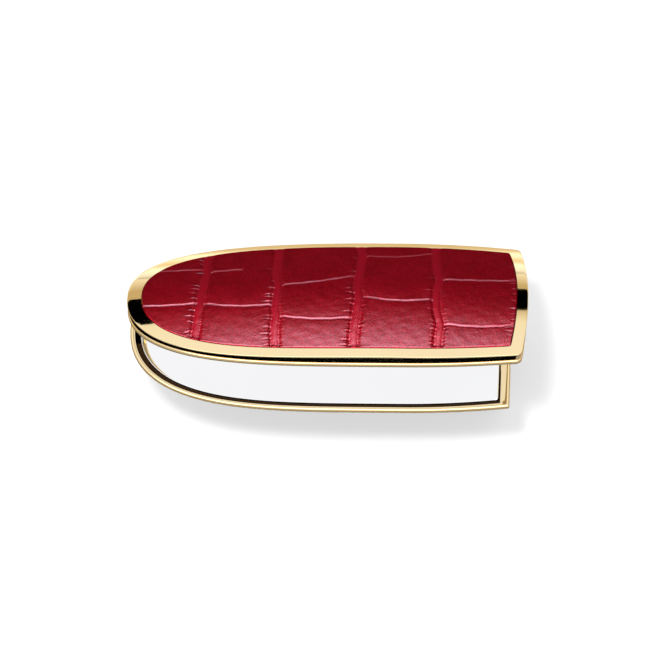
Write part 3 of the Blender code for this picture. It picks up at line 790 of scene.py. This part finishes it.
def body_shell(finish):
    """Deep trough with a beaded rim, a flat band across its end and a round mouth."""
    outside = [20.1, 19.9, 19.6, 19.0, 18.0, 17.0, 15.5, 14.0, 12.0, 10.0, 8.0, 6.0, 4.0, 2.5, 1.4, 0.9]
    inside = [1.0, 2.2, 4.0, 6.0, 8.0, 10.0, 12.0, 14.0, 15.5, 17.0, 18.0, 19.0]
    outer_round, outer_drop, inner_round, inner_drop = 0.48, 0.45, 0.25, 0.4
    rings = [hull_ring(depth, 0, 0) for depth in outside]
    turns = np.linspace(0, math.pi / 2, 7)
    for turn in turns:
        inset = outer_round * (1 - math.cos(turn))
        rings.append(hull_ring(outer_drop * (1 - math.sin(turn)), inset, inset))
    for turn in turns[::-1]:
        inset = SHELL_WALL - inner_round * (1 - math.cos(turn))
        rings.append(hull_ring(inner_drop * (1 - math.sin(turn)), inset, END_WALL - SHELL_WALL + inset))
    rings += [hull_ring(depth, SHELL_WALL, END_WALL) for depth in inside + [SHELL_FLOOR_DEPTH]]
    piece = loft("body_shell_polished", rings, "body", finish)
    mouth_radius = COLLAR_RADIUS + 0.1
    mouth = loft("mouth", turned([(60, mouth_radius), (70, mouth_radius)], 0, -BORE_DEPTH), "body", finish)
    slot = block("slot", (60, 7.3, -3.15), (70, 9.3, -2.25), "body", finish)
    combine(piece, [mouth, slot, hinge_notch("shell_notch", "body", -2.3, 2, finish)], "DIFFERENCE")
    stand_for("body_shell")


def mirror_deck(finish):
    """Tray in dark painted shade, with a sunk lip round the body mirror, and a post and guides for the catch.
    """
    gap, edge = 0.1, 0.08
    lip_depth, pocket_depth, foot_depth, mirror_gap = 0.95, 1.45, 2.2, 0.12
    wall, end = SHELL_WALL + gap, END_WALL + gap
    pocket = tuple(inset - mirror_gap for inset in BODY_MIRROR_INSET)
    lip = tuple(inset - edge for inset in pocket)
    rings = [
        hull_ring(foot_depth, wall, end),
        hull_ring(lip_depth + edge, wall, end),
        hull_ring(lip_depth, wall + edge, end + edge),
        flat(plan_loop(BODY_LENGTH, lip, BODY_END_BULGE, BODY_CORNER), -lip_depth),
        flat(plan_loop(BODY_LENGTH, pocket, BODY_END_BULGE, BODY_CORNER), -lip_depth - edge),
        flat(plan_loop(BODY_LENGTH, pocket, BODY_END_BULGE, BODY_CORNER), -pocket_depth),
    ]
    piece = loft("mirror_deck_tray", rings, "body", finish)
    added = [block("post", (5.2, 3.4, -4.1), (6.2, 5.6, -2.0), "body", finish)]
    for along in (30, 52):
        for y in (6.8, 9.3):
            low, high = (along, y, -3.2), (along + 4, y + 0.5, -2.0)
            added.append(block(f"guide_{along}_{y}", low, high, "body", finish))
    combine(piece, added, "UNION")
    slot = block("blade_slot", (-1, -2.2, -6), (2.0, 2.2, 1), "body", finish)
    combine(piece, [slot, hinge_notch("deck_notch", "body", -6, 2, finish)], "DIFFERENCE")
    stand_for("mirror_deck")


def end_collar(finish):
    """Ring that lines the mouth, with rounded lips."""
    start, face, edge = 64.75, 66.55, 0.2
    turns = np.linspace(0, math.pi / 2, 6)
    outer = [(face - edge + edge * math.sin(t), COLLAR_RADIUS - edge + edge * math.cos(t)) for t in turns]
    inner = [(face - edge + edge * math.cos(t), BORE_RADIUS + edge - edge * math.sin(t)) for t in turns]
    profile = [(start, BORE_RADIUS), (start, COLLAR_RADIUS)] + outer + inner
    piece = loft("end_collar_polished", turned(profile, 0, -BORE_DEPTH), "body", finish, closed=True)
    stand_for("end_collar")


def refill_sleeve(finish):
    """Test-tube liner with windows for the grip springs and a rounded lip."""
    dome_start, dome_length, mouth, edge = 24.0, 9.0, 64.5, 0.15

    def dome(radius, thickness):
        turns = np.linspace(0.04, math.pi / 2, 14)
        return [(dome_start - (dome_length - thickness) * math.cos(t), radius * math.sin(t)) for t in turns]

    wall = SLEEVE_RADIUS - BORE_RADIUS
    lip = [
        (mouth - edge, SLEEVE_RADIUS), (mouth, SLEEVE_RADIUS - edge),
        (mouth, BORE_RADIUS + edge), (mouth - edge, BORE_RADIUS),
    ]
    profile = dome(SLEEVE_RADIUS, 0) + lip + dome(BORE_RADIUS, wall)[::-1]
    piece = loft("refill_sleeve_moulded", turned(profile, 0, -BORE_DEPTH), "body", finish)
    windows = block("windows", (48.7, -9, -BORE_DEPTH - 1.5), (60.3, 9, -BORE_DEPTH + 1.5), "body", finish)
    combine(piece, [windows], "DIFFERENCE")
    stand_for("refill_sleeve")


def dress_cad(nodes, finish, bevel):
    """A CAD node that stays: its faces are welded and smoothed, its edges eased, and it gets its finish."""
    for name in nodes:
        node = frame["nodes"][name]
        node.data.materials.clear()
        node.data.materials.append(finish)
        node.data.shade_smooth()
        weld = node.modifiers.new("weld", "WELD")
        weld.merge_threshold = 1e-6
        if bevel:
            easing = node.modifiers.new("eased_edges", "BEVEL")
            easing.width = bevel * MM
            easing.segments = 2
            easing.angle_limit = SHARP_ANGLE
        node.modifiers.new("face_normals", "WEIGHTED_NORMAL")


# Studio

# Upright black card behind the case, whose reflection blackens patches of the lid's rim at the nose and
# across the end: centre and two half edges, in metres
FAR_CARD = ((0, 0.102, 0.0684), (0.1, 0.0274, 0), (0, 0, 0.0176))

# Level black strip whose reflection blackens the lid's wall: an arc round the nose and one along the near
# side, each with a start, a control point and a stop, in metres
FLAG_HEIGHT = 0.002
FLAG_HALF_WIDTH = 0.0062
FLAG_STEPS = 16
FLAG_ARCS = (
    ((-0.033, 0.016), (-0.0735, -0.0165), (-0.0315, -0.0515)),
    ((-0.0315, -0.0515), (0.01, -0.0965), (0.052, -0.057)),
)


def stage_sheet(name, points, faces, finish):
    """A sheet of the set."""
    mesh = bpy.data.meshes.new(name)
    mesh.from_pydata(points, [], faces)
    mesh.materials.append(finish)
    made = put_in_scene(name, mesh)
    return made


def stage_plane(name, centre, across, up, finish):
    """A flat four-sided panel of the set, from its centre and two half edges."""
    centre, across, up = Vector(centre), Vector(across), Vector(up)
    corners = [centre - across - up, centre + across - up, centre + across + up, centre - across + up]
    return stage_sheet(name, corners, [(0, 1, 2, 3)], finish)


def only_in_reflections(card):
    """Lets only polished surfaces see a card."""
    card.visible_camera = False
    card.visible_diffuse = False
    card.visible_shadow = False
    card.visible_transmission = False


def flag_ribbon(name, finish):
    """A level strip that follows the flag's arcs, seen only in polished surfaces."""
    path = np.concatenate([quadratic(*np.array(arc), FLAG_STEPS) for arc in FLAG_ARCS])
    heading = np.gradient(path, axis=0)
    heading /= np.linalg.norm(heading, axis=1)[:, None]
    outward = np.column_stack([-heading[:, 1], heading[:, 0]]) * FLAG_HALF_WIDTH
    points = np.concatenate([flat(path - outward, FLAG_HEIGHT), flat(path + outward, FLAG_HEIGHT)])
    count = len(path)
    faces = [(i, i + 1, count + i + 1, count + i) for i in range(count - 1)]
    only_in_reflections(stage_sheet(name, points.tolist(), faces, finish))


def matte(name):
    """Matte paint, black until a colour is linked in."""
    made, _, shader = new_material(name)
    shader.inputs["Base Color"].default_value = (0, 0, 0, 1)
    shader.inputs["Roughness"].default_value = 1
    shader.inputs["Specular IOR Level"].default_value = 0
    return made


def pale_floor():
    """Matte white floor, which polished surfaces see with painted shade near and painted warm light far."""
    made = matte("pale_floor")
    tree = made.node_tree
    place = add_node(tree, "ShaderNodeTexCoord")
    parts = add_node(tree, "ShaderNodeSeparateXYZ", Vector=place.outputs["Object"])
    depth = add_node(tree, "ShaderNodeMapRange", Value=parts.outputs["Y"], From_Min=-0.05, From_Max=0.35)
    # Painted reflection: the tone polished surfaces see, painted shade near and painted warm light with a
    # bright band far
    seen = ramp(tree, depth.outputs[0], [
        (0.0, 0.25), (0.13, (0.36, 0.28, 0.17)), (0.3, (0.58, 0.48, 0.32)), (0.34, (1.0, 0.97, 0.9)),
        (0.46, (0.72, 0.6, 0.4)), (0.6, 1.0),
    ])
    path = add_node(tree, "ShaderNodeLightPath")
    shade = mixed(tree, path.outputs["Is Camera Ray"], seen, (0.84, 0.84, 0.84, 1))
    tree.links.new(shade, tree.nodes["Principled BSDF"].inputs["Base Color"])
    return made


def soft_light(name, place, target, size, power, polish):
    """A soft box that the camera doesn't see. With polish it shows only in polished and glazed surfaces."""
    light = bpy.data.lights.new(name, "AREA")
    light.shape = "RECTANGLE"
    light.size, light.size_y = size
    light.energy = power
    made = put_in_scene(name, light)
    made.location = place
    made.rotation_euler = (Vector(target) - Vector(place)).to_track_quat("-Z", "Y").to_euler()
    made.visible_camera = False
    made.visible_glossy = polish
    made.visible_diffuse = not polish
    return made


def only_of(name, member):
    """A collection of one object, for linking lights to it."""
    made = bpy.data.collections.new(name)
    made.objects.link(member)
    return made


def studio():
    """Pale floor, soft sky, lights, and black cards for contrast."""
    floor = stage_plane("floor", (0, 0, 0), (2, 0, 0), (0, 2, 0), pale_floor())
    black = matte("black_card")
    only_in_reflections(stage_plane("far_card", *FAR_CARD, black))
    flag_ribbon("near_card", black)
    soft_sky()
    studio_lights(floor)


def soft_sky():
    """Even sky with a dimmer band near the horizon, which polished surfaces see as warm."""
    world = bpy.data.worlds.new("soft_sky")
    bpy.context.scene.world = world
    world.use_nodes = True
    tree = world.node_tree
    place = add_node(tree, "ShaderNodeTexCoord")
    parts = add_node(tree, "ShaderNodeSeparateXYZ", Vector=place.outputs["Generated"])
    plain = ramp(tree, parts.outputs["Z"], [(0.0, 0.9), (0.12, 0.7), (0.42, 0.75), (0.62, 1.0), (1.0, 1.0)])
    warm = ramp(tree, parts.outputs["Z"], [
        (0.0, (1.0, 0.95, 0.84)), (0.14, (0.62, 0.5, 0.3)), (0.4, (0.62, 0.52, 0.36)),
        (0.52, (0.98, 0.97, 0.9)), (0.66, 1.0), (1.0, 1.0),
    ])
    path = add_node(tree, "ShaderNodeLightPath")
    polish = path.outputs["Is Glossy Ray"]
    strength = add_node(tree, "ShaderNodeMapRange", Value=polish, To_Min=0.5, To_Max=1.06)
    sky = mixed(tree, polish, plain, warm)
    set_inputs(tree, tree.nodes["Background"], Color=sky, Strength=strength.outputs[0])


def studio_lights(floor):
    """A small overhead key, a strip along the near side, a lift for the floor and two for the leather."""
    soft_light("key", (-0.069, -0.047, 0.6), (0, 0, 0), (0.08, 0.08), 1.5, False)
    soft_light("strip", (0, -0.2, 0.43), (0, 0, 0.02), (0.6, 0.25), 0.8, True)
    lift = soft_light("floor_lift", (0, 0, 1.5), (0, 0, 0), (0.5, 0.5), 14.5, False)
    lit = only_of("floor_only", floor)
    lift.light_linking.receiver_collection = lit
    lift.light_linking.blocker_collection = lit
    rake = soft_light("rake", (-0.1, -0.58, 0.36), (0, 0, 0.03), (0.15, 0.15), 20, False)
    sheen = soft_light("sheen", (-0.1, 0.19, 0.56), (0, 0, 0.03), (0.5, 0.3), 125, True)
    leather = only_of("leather_only", bpy.data.objects["leather_inlay_embossed"])
    for light in (rake, sheen):
        light.light_linking.receiver_collection = leather


CAMERA_PLACE = (0.0187, -0.21359, 0.68538)
CAMERA_AXES = {
    "right": (0.99965, 0.01463, -0.02185),
    "up": (-0.00722, 0.95175, 0.30681),
    "back": (0.0253, -0.3065, 0.9515),
}
FOCAL_LENGTH = 219.85


def camera():
    """Near side, high above the case, through a long lens."""
    lens = bpy.data.cameras.new("camera")
    lens.lens = FOCAL_LENGTH
    lens.sensor_width = 36
    made = put_in_scene("camera", lens)
    turned_view = Matrix(tuple(CAMERA_AXES.values())).transposed().to_4x4()
    made.matrix_world = Matrix.Translation(CAMERA_PLACE) @ turned_view
    bpy.context.scene.camera = made
    bpy.context.scene.view_settings.view_transform = "Standard"
    bpy.context.scene.cycles.caustics_reflective = False


def main():
    gold, satin, glass = polished_gold(), satin_gold(), mirror_glass()
    metal, tape = steel(), adhesive_tape()
    # Dark brown-black: painted shade on the mirror deck's recess, plain dark plastic on the sleeve and the
    # slider
    black = moulded_plastic("black_plastic", (0.028, 0.013, 0.004), (0.07, 0.031, 0.011), shine=0.06)
    core = moulded_plastic("core_plastic", (0.15, 0.15, 0.16), (0.24, 0.24, 0.25))
    body_shell(gold)
    mirror_deck(black)
    mirror_plate("body", (BODY_LENGTH, BODY_MIRROR_INSET, BODY_END_BULGE), -1.2, -0.5, glass)
    end_collar(gold)
    refill_sleeve(black)
    lid_frame(gold)
    lid_mirror_frame(gold)
    mirror_plate("lid", (LID_LENGTH, LID_MIRROR_INSET, LID_END_BULGE), 1.13, 0.58, glass)
    leather_inlay(red_leather())
    dress_cad(["body_hinge_block", "lid_hinge_block"], satin, 0.06)
    dress_cad(["lid_catch_blade"], metal, 0.04)
    dress_cad(["refill_grip_near", "refill_grip_far"], metal, 0.03)
    dress_cad(["hinge_pin"], metal, 0.08)
    dress_cad(["catch_spring", "torsion_spring_nose_side", "torsion_spring_mouth_side"], metal, 0)
    dress_cad(["catch_slider"], black, 0.08)
    dress_cad(["inlay_core"], core, 0)
    dress_cad(["body_mirror_tape", "lid_mirror_tape"], tape, 0.03)
    studio()
    camera()


main()
